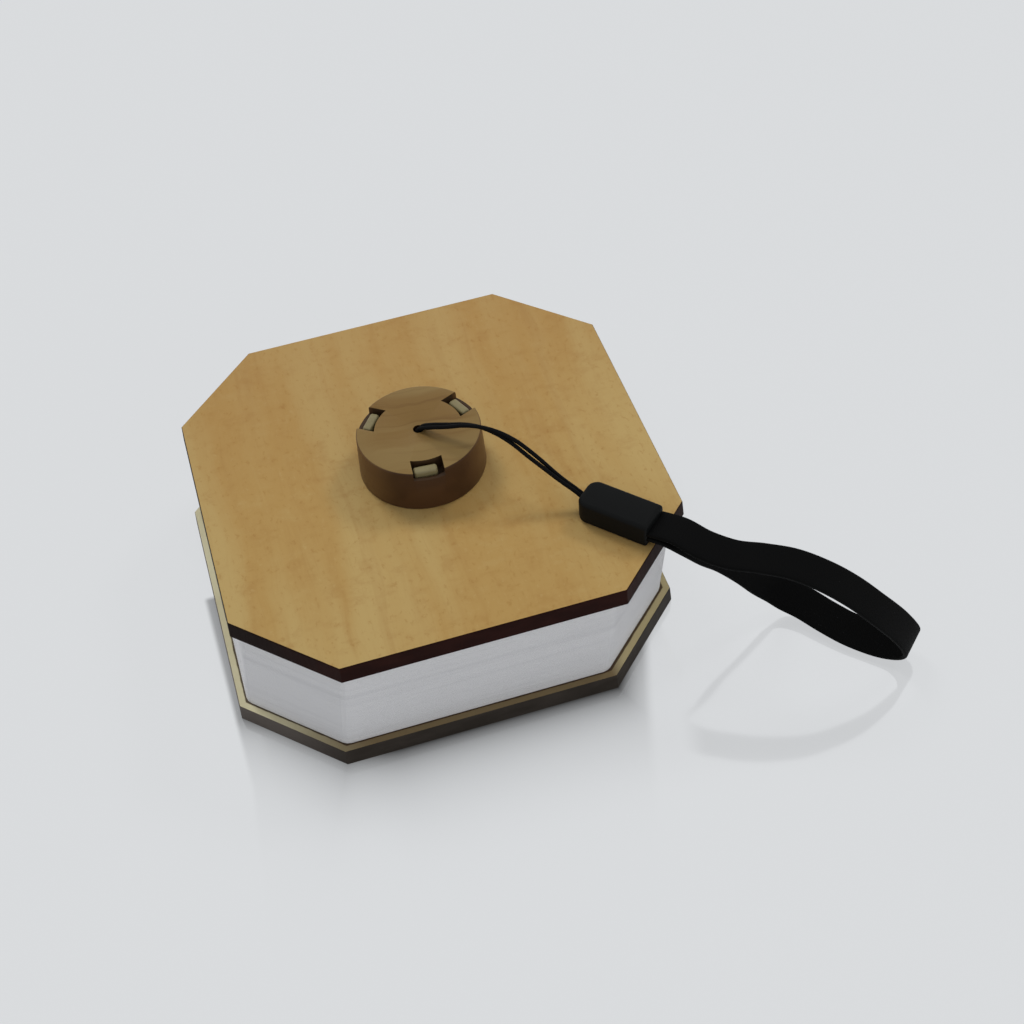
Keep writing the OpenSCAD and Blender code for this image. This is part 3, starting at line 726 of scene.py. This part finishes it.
def lay_floor():
    """Pale polished floor: a painted shade against the lower cover, and a
    short reflection, which carries on under the strap."""
    f = Finish("pale_floor", 0.0, roughness=0.6)
    x, y = f.split(f.place())[:2]

    def past(edge_x, edge_y, slope):
        return x - edge_x - (y - edge_y) * slope

    # painted shade: strongest against the lower cover, fading outwards and kept inside the
    # edges below; near also sets the reflection's strength
    away = past_cover(x, y, BASE_X).max(0.0)
    near = math.e ** ((away / SHADE_REACH) ** SHADE_CURVE * -1.0)
    left = past(*SHADE_LEFT[0]).max(past(*SHADE_LEFT[1]))
    right = past(*SHADE_RIGHT[0]).min(past(*SHADE_RIGHT[1]))
    within = f.ramp(left, 0.0, 0.0018) * f.ramp(y, 0.0085, 0.0065) * f.ramp(right, 0.0, -0.004)
    within = within * f.ramp(past(*SHADE_CORNER), 0.0, -0.012)
    # the painted shade is darkest along the front, apart from its left end, and lighter on the
    # right
    ahead = f.ramp(y, -0.036, -0.048)
    level = 0.78 - ahead * 0.16 + ahead * f.ramp(x, -0.041, -0.024) * 0.38
    level = level * (1.0 - f.ramp(x, 0.036, 0.046) * 0.4)
    # a narrow painted shade round the back half of the lower cover, but not along its left side
    behind = math.e ** (away / BEHIND_REACH * -1.0)
    behind = behind * f.ramp(y, -0.02, 0.0) * f.ramp(x, -0.06, -0.05)
    # the whole painted shade, which darkens the floor's colour
    painted_floor_shade = (near * within * level).max(behind * 0.6)
    tone = f.mix(painted_floor_shade * 0.97, BACKDROP, SHADE)
    f.set(base_color=tone)
    glow = f.add("ShaderNodeEmission", {0: tone, 1: 1.0})
    matte = f.mix_shaders(f.seen_rays() * 0.88, Link(f, f.shader.outputs[0]), glow)
    mirror = f.add("ShaderNodeBsdfGlossy", {"Color": (1, 1, 1, 1), "Roughness": 0.09})
    polish = near * near * 0.2 + f.ramp(past(*STRAP_SIDE), 0.0, 0.008) * 0.13
    f.end_with(f.mix_shaders(polish, matte, mirror).socket)
    corners = [(a * FLOOR_HALF, b * FLOOR_HALF, 0)
               for a, b in ((-1, -1), (1, -1), (1, 1), (-1, 1))]
    floor = show("floor", mesh_of("floor", corners, [(0, 1, 2, 3)]), f.material)
    floor.location.z = -FLOOR_DROP * MM


# ---------- cord and strap ----------

def round_tube(name, points, along, radius, across, sides=14):
    """A round tube along points, turned so that its seam lies towards one side."""
    rings = []
    for p, d in zip(points, headings(points)):
        side = unit(across - d * np.dot(across, d))
        up = np.cross(side, d)
        rings.append([p + radius * (math.cos(a) * side + math.sin(a) * up)
                      for a in np.linspace(0, 2 * math.pi, sides, endpoint=False)])
    around = np.linspace(0, 2 * math.pi * radius, sides + 1)
    return skin(name, rings, along, around)


def make_cords(finish):
    """The doubled cord: two strands with half a twist, parted a little past the middle. Gives
    each strand with its path and length."""
    points, along, _ = smooth_route(CORD_ROUTE, CORD_STEP)
    start, end = CORD_TWIST_SPAN
    offsets = []
    for d, share in zip(headings(points), along / along[-1]):
        side = unit(CORD_ACROSS - d * np.dot(CORD_ACROSS, d))
        turned = ease((share - start) / (end - start))
        twist = math.radians(CORD_TWIST[0] + (CORD_TWIST[1] - CORD_TWIST[0]) * turned)
        parted = CORD_PART * math.exp(-((share - CORD_PART_AT) / CORD_PART_SPAN) ** 2)
        offsets.append((CORD_D / 2 + CORD_CLEAR + parted)
                       * (math.cos(twist) * side + math.sin(twist) * np.cross(d, side)))
    made = []
    for name, sign in (("cord_strand_front", -1), ("cord_strand_back", 1)):
        path = points + sign * np.array(offsets)
        tube = round_tube(name, path, along, CORD_D / 2, unit(CORD_ACROSS))
        strand = settle(show(name, tube, finish), "hub", "hub_cord")
        made.append((strand, path, along[-1]))
    return made


def strap_section():
    """Outline of the band's cross-section, with points close enough for it to bend."""
    half_w, half_t, r = STRAP_W / 2 - STRAP_EDGE_R, STRAP_T / 2 - STRAP_EDGE_R, STRAP_EDGE_R
    corners = []
    for sx, sy, start in ((1, 1, 0), (-1, 1, 90), (-1, -1, 180), (1, -1, 270)):
        corners += arc(sx * half_w, sy * half_t, r, start, start + 90, 3)
    outline = []
    for (x0, y0), (x1, y1) in zip(corners, corners[1:] + corners[:1]):
        pieces = max(1, int(abs(x1 - x0) / STRAP_STEP))
        outline += [(x0 + (x1 - x0) * i / pieces, y0 + (y1 - y0) * i / pieces)
                    for i in range(pieces)]
    return outline


def make_strap(finish):
    """The flat band: out of the bead, over the edge, round on the floor and back. Gives the
    band with its path and length."""
    points, along, at = smooth_route(STRAP_ROUTE, STRAP_STEP)
    length = along[-1]
    section = strap_section()
    steps = [math.dist(a, b) for a, b in zip(section, section[1:] + section[:1])]
    rings = []
    for p, d, run, place in zip(points, headings(points), along, at):
        free = ease(min(run, length - run) / STRAP_SETTLE)
        back = ease((place - STRAP_TURN[0]) / (STRAP_TURN[1] - STRAP_TURN[0]))
        loose = np.array(STRAP_ACROSS) * (1 - back) + np.array(RETURN_ACROSS) * back
        across = unit(np.array(BEAD_ACROSS) * (1 - free) + loose * free)
        out = unit(np.cross(across, d))
        across = np.cross(d, out)
        rings.append([p + x * across + y * out for x, y in section])
    mesh = skin("wrist_band", rings, along, np.r_[0, np.cumsum(steps)])
    band = settle(show("wrist_band", mesh, finish), "hub", "wrist_strap")
    return band, points, length


def bead_plan(inset):
    """Plan of the bead along X: round shoulders at the cord's end, crisp at the strap's."""
    left, right, half = -BEAD_L / 2 + inset, BEAD_L / 2 - inset, BEAD_W / 2 - inset
    soft, crisp = max(0.2, BEAD_CORD_R - inset), max(0.1, BEAD_STRAP_R - inset * 0.6)
    return (arc(right - crisp, -half + crisp, crisp, -90, 0, 5)
            + arc(right - crisp, half - crisp, crisp, 0, 90, 5)
            + arc(left + soft, half - soft, soft, 90, 180, 8)
            + arc(left + soft, -half + soft, soft, 180, 270, 8))


def make_bead(finish):
    """The moulded bead that joins the cord to the strap."""
    mesh = stacked("bead", bead_plan, rounding(0, BEAD_H, BEAD_EDGE_R, BEAD_EDGE_R, 5))
    turn = Matrix.Rotation(math.radians(BEAD_TURN), 4, "Z")
    mesh.transform(Matrix.Translation(mm((*BEAD_AT, TOTAL_H))) @ turn)
    smooth_by_angle(mesh, 40)
    return settle(show("moulded_bead", mesh, finish), "hub", "cord_bead")


place_camera()
light_room()
strands = make_cords(braided_cord("black_braid", srgb(5, 5, 6), srgb(15, 15, 16)))
band, band_path, band_length = make_strap(
    woven_band("black_weave", srgb(5, 5, 5), srgb(12, 12, 12)))
bead = make_bead(moulded_plastic("black_moulding", srgb(12, 13, 13), srgb(16, 17, 17), 0.55,
                                 gloss=0.1))
lay_floor()

# ---------- covers ----------

PALE, WARM, DARK = srgb(180, 153, 98), srgb(173, 140, 83), srgb(148, 104, 52)
maple = veneer("maple_veneer", PALE, WARM, DARK, 1.0)
maple_under = veneer("maple_under", PALE, WARM, DARK, 31.0)
# cut edges: the upper cover's, and the lower's greyer one; towards the left front corner the
# upper turns to painted shade and the lower to painted light
scorch = scorched_edge("scorched_edge", srgb(34, 15, 12), srgb(49, 24, 19), srgb(24, 13, 9))
grey_edge_finish = scorched_edge("grey_cut_edge", srgb(54, 49, 44), srgb(69, 63, 58), srgb(100, 93, 88))
# lining colours: paper, deeper patches, olive, the painted shade at the fore edge, and the glue
# and painted shade at the leaves' foot
LINING = (srgb(206, 199, 166), srgb(184, 174, 139), srgb(176, 162, 122),
          srgb(122, 105, 75), srgb(52, 34, 26))
linings = {"base": lining_paper("base_lining_paper", *LINING, BASE_X),
           "lid": lining_paper("lid_lining_paper", *LINING, LID_X)}


def make_cover(side, x, flip):
    """The three layers of a cover, each over its CAD node; flip turns them for the lid. The
    cut leaves both boards a little wider at their lower face."""
    def height(z):
        return TOTAL_H - z if flip else z

    def cut_slope(z):
        return -EDGE_FLARE * (z if flip else BOARD_T - z) / BOARD_T

    outer, edge = (maple, scorch) if flip else (maple_under, grey_edge_finish)
    lining_low = BOARD_T - LINING_T
    layers = [
        ("veneer", 0.0, VENEER_T, VENEER_ROUND, 0.0, "veneer", outer),
        ("board", VENEER_T, lining_low, 0.0, 0.0, "board_edge", edge),
        ("lining", lining_low, BOARD_T, 0.0, LINING_ROUND, "lining", linings[side]),
    ]
    for layer, low, high, at_low, at_high, slot, face in layers:
        levels = [(inset + cut_slope(z), height(z))
                  for inset, z in rounding(low, high, at_low, at_high)]
        if flip:
            levels = levels[::-1]
        name = f"{side}_{layer}"
        mesh = stacked(name, lambda inset: octagon(inset, x), levels)
        smooth_by_angle(mesh, 40)
        for polygon in mesh.polygons:
            polygon.material_index = 0 if abs(polygon.normal.z) > 0.9 else 1
        settle(show(f"{name}_dressed", mesh, face, edge), side, name)


make_cover("base", BASE_X, False)
make_cover("lid", LID_X, True)


# ---------- folded leaves ----------

def leaf_corners():
    """Corners of a leaf in plan, from its right end round the fore edge to its left: each is
    a point on the outer fold and one on the inner fold."""
    far, near = octagon_reach(PAGE_INSET)
    inner = far - PAGE_DEPTH
    back = [((far + near - PAGE_BACK_Y, PAGE_BACK_Y), (INNER_END_X, PAGE_BACK_Y)),
            ((far, near), (inner - INNER_BACK[0], near - INNER_BACK[1]))]

    def front(slip):
        return [((far - slip / 3, -near), (inner, -near + INNER_CUT)),
                ((near - slip, -far), (near - slip - INNER_CUT, -inner))]

    right = back + front(PAGE_SLIP)
    left = [((-ox, oy), (-ix, iy)) for (ox, oy), (ix, iy) in (back + front(0))[::-1]]
    return [(np.array(outer), np.array(inner)) for outer, inner in right + left]


def leaf_pairs():
    """Pairs of plan points on the outer and the inner fold, close enough for a leaf to
    ruffle, with each corner of the outer fold cut back a little."""
    corners = leaf_corners()
    last = len(corners) - 2
    pairs = [corners[0]]
    for n in range(last + 1):
        (o0, i0), (o1, i1) = corners[n], corners[n + 1]
        run = np.linalg.norm(o1 - o0)
        shares = np.linspace(0, 1, max(2, int(run / FOLD_STEP)) + 1)
        if n > 0:
            shares[0] = FOLD_TRIM / run
        else:
            shares = shares[1:]
        if n < last:
            shares[-1] = 1 - FOLD_TRIM / run
        pairs += [(o0 + (o1 - o0) * s, i0 + (i1 - i0) * s) for s in shares]
        if n < last:
            on = corners[n + 2][0] - o1
            pairs.append((o1 + ((o0 - o1) / run + on / np.linalg.norm(on)) * FOLD_SET, i1))
    return pairs


def single_fold(pitch):
    """One folded leaf as a closed strip: fold outside, both sheets, open inside. Its profile
    is (depth, height), with a depth of 0 at the outer fold and 1 at the inner one."""
    half, flat, t = pitch / 2, FOLD_FLAT * pitch, SHEET_T
    hollow, end = 0.05, 1.012  # depths of the gap between the sheets and of their edges
    profile = [
        (1.0, 0.0), (1.0, t), (0.0, half - flat), (0.0, half), (0.0, half + flat),
        (1.0, pitch - t), (1.0, pitch), (end, pitch), (end, pitch - 3 * t),
        (hollow, half), (end, 3 * t), (end, 0.0),
    ]
    ridge_at, joined = 3, (6, 11)  # at the joined sides the next folds carry on
    points, reach, ridge = [], [], []
    for outer, inner in leaf_pairs():
        for k, (depth, z) in enumerate(profile):
            points.append((*(outer + (inner - outer) * depth), z))
            reach.append(max(0.0, 1.0 - depth))
            ridge.append(float(k == ridge_at))
    n = len(profile)
    faces = [[start + k, start + (k + 1) % n, start + n + (k + 1) % n, start + n + k]
             for start in range(0, len(points) - n, n) for k in range(n) if k not in joined]
    faces += [list(range(n))[::-1], list(range(len(points) - n, len(points)))]
    mesh = mesh_of("fold", points, faces)
    for name, values in (("reach", reach), ("ridge", ridge)):
        mesh.attributes.new(name, "FLOAT", "POINT").data.foreach_set("value", values)
    return mesh


def fold_stack_tree():
    """Geometry nodes: repeats one fold upwards, leans the stack and ruffles its folds."""
    tree = bpy.data.node_groups.new("fold_stack", "GeometryNodeTree")
    for name, kind, way in (
            ("Geometry", "Geometry", "INPUT"), ("Leaves", "Int", "INPUT"),
            ("Pitch", "Float", "INPUT"), ("Foot", "Float", "INPUT"),
            ("Lean", "Float", "INPUT"), ("Ruffle", "Float", "INPUT"),
            ("Lift", "Float", "INPUT"), ("Paper", "Material", "INPUT"),
            ("Geometry", "Geometry", "OUTPUT")):
        tree.interface.new_socket(name, in_out=way, socket_type=f"NodeSocket{kind}")
    g = Graph(tree)
    source = tree.nodes.new("NodeGroupInput")

    def given(name):
        return Link(g, source.outputs[name])

    line = g.add("GeometryNodeMeshLine", {
        "Count": given("Leaves"), "Start Location": g.join(0.0, 0.0, given("Foot")),
        "Offset": g.join(0.0, 0.0, given("Pitch")),
    })
    copies = g.add("GeometryNodeInstanceOnPoints",
                   {"Points": line, "Instance": given("Geometry")})
    whole = g.add("GeometryNodeRealizeInstances", {0: copies})
    place = g.add("GeometryNodeInputPosition")
    x, y, z = g.split(place)
    reach = g.add("GeometryNodeInputNamedAttribute", {"Name": "reach"}, data_type="FLOAT")
    ruffle = g.noise(place, (14, 14, 950), 2, 0.6) - 0.5
    lift = g.noise(place, (45, 45, 260), 2, 0.5, shift=12) - 0.5
    out_x, out_y = g.split(g.vector("NORMALIZE", g.join(x, y, 0.0), (0, 0, 0)))[:2]
    push = ruffle * reach * given("Ruffle")
    move = g.join(out_x * push + (z - MID_Z * MM) * given("Lean"), out_y * push,
                  lift * reach * given("Lift"))
    moved = g.add("GeometryNodeSetPosition", {"Geometry": whole, "Offset": move})
    merged = g.add("GeometryNodeMergeByDistance", {"Geometry": moved, "Distance": 0.000004})
    painted = g.add("GeometryNodeSetMaterial", {"Geometry": merged, "Material": given("Paper")})
    end = tree.nodes.new("NodeGroupOutput")
    tree.links.new(painted.socket, end.inputs[0])
    return tree


def apply_tree(piece, tree, **inputs):
    """Runs a geometry tree on a piece and keeps the result as its plain mesh."""
    modifier = piece.modifiers.new("build", "NODES")
    modifier.node_group = tree
    for item in tree.interface.items_tree:
        if item.in_out == "INPUT" and item.name in inputs:
            modifier[item.identifier] = inputs[item.name]
    bake(piece)


def make_leaves(finish):
    """The two halves of the paper stack, built where they rest."""
    pitch = PAGE_GAP / (2 * LEAVES_PER_HALF)
    tree = fold_stack_tree()
    halves = (("leaves_lower", BOARD_T, "base", "spine", range(1, 7)),
              ("leaves_upper", MID_Z, "spine", "lid", range(7, 13)))
    for name, foot, below, above, nodes in halves:
        piece = show(name, single_fold(pitch), finish)
        apply_tree(piece, tree, Leaves=LEAVES_PER_HALF, Pitch=pitch * MM, Foot=foot * MM,
                   Lean=(LID_X - BASE_X) / PAGE_GAP, Ruffle=RUFFLE * MM, Lift=LIFT * MM,
                   Paper=finish)
        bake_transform(piece)
        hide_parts(*[f"page_{i:02d}" for i in nodes])


# leaf colours: white, grey, and the painted shade of the creases
make_leaves(leaf_paper("white_leaves", srgb(238, 238, 239), srgb(212, 212, 214),
                       srgb(184, 184, 188)))


# ---------- hub ----------

def lathe(name, profile, steps):
    """A ring turned about the Z axis from a closed profile of (radius, height)."""
    points, faces, n = [], [], len(profile)
    for i in range(steps):
        a = 2 * math.pi * i / steps
        points += [(r * math.cos(a), r * math.sin(a), z) for r, z in profile]
    for i in range(steps):
        j = (i + 1) % steps
        for k in range(n):
            m = (k + 1) % n
            faces.append([i * n + k, j * n + k, j * n + m, i * n + m])
    return mesh_of(name, points, faces)


def notch_cutter(inner, outer, low, high, turn):
    """A stretch of ring, as wide as a notch, to cut from the hub's rim."""
    a, b = (math.degrees(math.asin(NOTCH_W / 2 / r)) for r in (inner, outer))
    plan = arc(0, 0, outer, turn - b, turn + b, 12) + arc(0, 0, inner, turn + a, turn - a, 12)
    return stacked("cutter", lambda inset: plan, [(0, low), (0, high)])


def cut(piece, cutters):
    """Subtracts each cutter mesh from the piece."""
    tools = []
    for mesh in cutters:
        tool = bpy.data.objects.new("cutter", mesh)
        scene.collection.objects.link(tool)
        modifier = piece.modifiers.new("cut", "BOOLEAN")
        modifier.operation, modifier.object, modifier.solver = "DIFFERENCE", tool, "EXACT"
        tools.append(tool)
    bake(piece)
    for tool in tools:
        bpy.data.objects.remove(tool)


def break_edges(piece, width):
    """Small even rounding on every sharp edge."""
    modifier = piece.modifiers.new("edges", "BEVEL")
    modifier.width, modifier.segments = width * MM, 2
    modifier.limit_method, modifier.angle_limit = "ANGLE", math.radians(40)
    bake(piece)


def make_hub(top_finish, side_finish, pocket_shade_finish):
    """The round wooden hub, hollow for pad and knot, with three pockets along its rim."""
    edge = HUB_EDGE_R
    profile = [(HUB_BORE_R, KNOT_TOP), (KNOT_R, KNOT_TOP), (KNOT_R, PAD_TOP),
               (PAD_R, PAD_TOP), (PAD_R, 0.0)]
    profile += arc(HUB_FOOT_R - edge, edge, edge, -90, 0, 3)
    profile += arc(HUB_R - edge, HUB_H - edge, edge, 0, 90, 3)
    profile += [(HUB_BORE_R, HUB_H)]
    piece = show("turned_hub", lathe("hub", profile, HUB_SIDES), top_finish, side_finish,
                 pocket_shade_finish)
    above = HUB_H + 1
    cutters = []
    for turn in NOTCH_TURNS:
        cutters += [
            notch_cutter(NOTCH_IN, LIP_R, HUB_H - NOTCH_DEPTH, above, turn),
            notch_cutter(LIP_R - 0.01, HUB_R + 1, HUB_H - LIP_DROP, above, turn),
        ]
    cut(piece, cutters)
    break_edges(piece, NOTCH_EDGE)
    top_z, side_r = HUB_H - 0.7, LIP_R + 0.4
    # finishes: the top; the side, a darker copy of the wood that is painted shade; the pockets,
    # a still darker painted shade
    for polygon in piece.data.polygons:
        x, y, z = polygon.center / MM
        on_top = polygon.normal.z > 0.8 and z > top_z
        on_side = math.hypot(x, y) > side_r or z < HUB_EDGE_R
        polygon.material_index = 0 if on_top else 1 if on_side else 2
    piece.data.transform(Matrix.Translation(mm((LID_X, 0, TOTAL_H))))
    smooth_by_angle(piece.data, 35)
    settle(piece, "hub", "hub_disc")


def make_bars(finish):
    """The three bar magnets, with well rounded edges."""
    piece = show("bar_magnets", bpy.data.meshes.new("bars"), finish)
    body = bmesh.new()
    middle_z = TOTAL_H + HUB_H - NOTCH_DEPTH + BAR_H / 2
    for turn, slip in zip(NOTCH_TURNS, BAR_SLIPS):
        made = bmesh.ops.create_cube(body, size=1.0)["verts"]
        bmesh.ops.scale(body, vec=mm((BAR_W, BAR_L, BAR_H)), verts=made)
        edges = list({e for v in made for e in v.link_edges})
        made = bmesh.ops.bevel(body, geom=edges, offset=BAR_EDGE * MM, segments=4,
                               profile=0.5, affect="EDGES")["verts"]
        spot = (Matrix.Translation(mm((LID_X, 0, 0)))
                @ Matrix.Rotation(math.radians(turn), 4, "Z")
                @ Matrix.Translation(mm((BAR_R, slip, middle_z))))
        bmesh.ops.transform(body, matrix=spot, verts=made)
    body.to_mesh(piece.data)
    body.free()
    smooth_by_angle(piece.data, 50)
    settle(piece, "hub", "hub_magnets")


# hub wood: the top; the side, a darker copy that is painted shade; the pockets, darker painted
# shade in the recesses
make_hub(
    turned_wood("hub_top_wood", srgb(130, 107, 65), srgb(120, 93, 51), srgb(98, 69, 36),
                srgb(128, 105, 63), 2.0),
    turned_wood("hub_side_wood", srgb(73, 49, 29), srgb(64, 42, 24), srgb(55, 36, 21),
                srgb(108, 80, 46), 6.0, 0.2),
    turned_wood("hub_pocket_shade_wood", srgb(60, 42, 24), srgb(48, 31, 18), srgb(28, 17, 10),
                srgb(54, 37, 21), 9.0),
)
make_bars(coated_bar("cream_coating", srgb(125, 115, 80), srgb(107, 95, 63)))


# ---------- pieces that keep their CAD shape ----------

steel = brushed_metal("plain_steel", srgb(176, 177, 180), srgb(142, 142, 145))
black_steel = brushed_metal("black_steel", srgb(70, 70, 72), srgb(48, 48, 50), 0.4)
nickel = brushed_metal("nickel", srgb(190, 188, 182), srgb(160, 158, 152), 0.25)
brass = brushed_metal("brass_plate", srgb(202, 168, 104), srgb(166, 132, 78), 0.34, "y")
spine_veneer = veneer("spine_veneer", srgb(176, 145, 92), srgb(168, 130, 76),
                      srgb(146, 104, 58), 47.0)
white_moulding = moulded_plastic("white_moulding", srgb(226, 226, 222), srgb(206, 206, 200))
black_package = moulded_plastic("black_package", srgb(24, 24, 25), srgb(38, 38, 40), 0.4)
CAD_FINISHES = {
    "base_magnets": nickel, "lid_magnets": nickel, "switch_magnet": nickel,
    "base_hinges": brass, "lid_hinges": brass,
    "base_screws": black_steel, "lid_screws": black_steel, "housing_screws": black_steel,
    "lid_steel_disc": steel, "hinge_pins": steel, "battery_tabs": nickel,
    "usb_socket": steel, "spine_strip": spine_veneer, "lamp_housing": white_moulding,
    "diffuser": frosted("frosted_panel", srgb(236, 234, 226), srgb(226, 222, 208)),
    "led_board": circuit_board("white_board", srgb(226, 226, 220), srgb(198, 196, 186)),
    "leds": lamp_die("diode_package", srgb(236, 234, 226), srgb(240, 205, 96)),
    "battery": brushed_metal("pouch_foil", srgb(186, 188, 192), srgb(160, 162, 166), 0.4),
    "control_board": circuit_board("green_board", srgb(18, 84, 48), srgb(34, 120, 70)),
    "board_chips": black_package, "board_link": black_package,
    "reed_switch": switch_glass("switch_tube", srgb(205, 222, 214), srgb(120, 122, 124)),
    "hub_pad": felt("grey_felt", srgb(66, 66, 68), srgb(104, 104, 106)),
    "cord_knot": moulded_plastic("knot_fibre", srgb(14, 14, 15), srgb(30, 30, 32), 0.75, 0.1),
}
for node, finish in CAD_FINISHES.items():
    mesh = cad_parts[node].data
    mesh.materials.clear()
    mesh.materials.append(finish)

# ---------- the strands' lengths, in metres ---

for strand, path, length in strands:
    length * MM
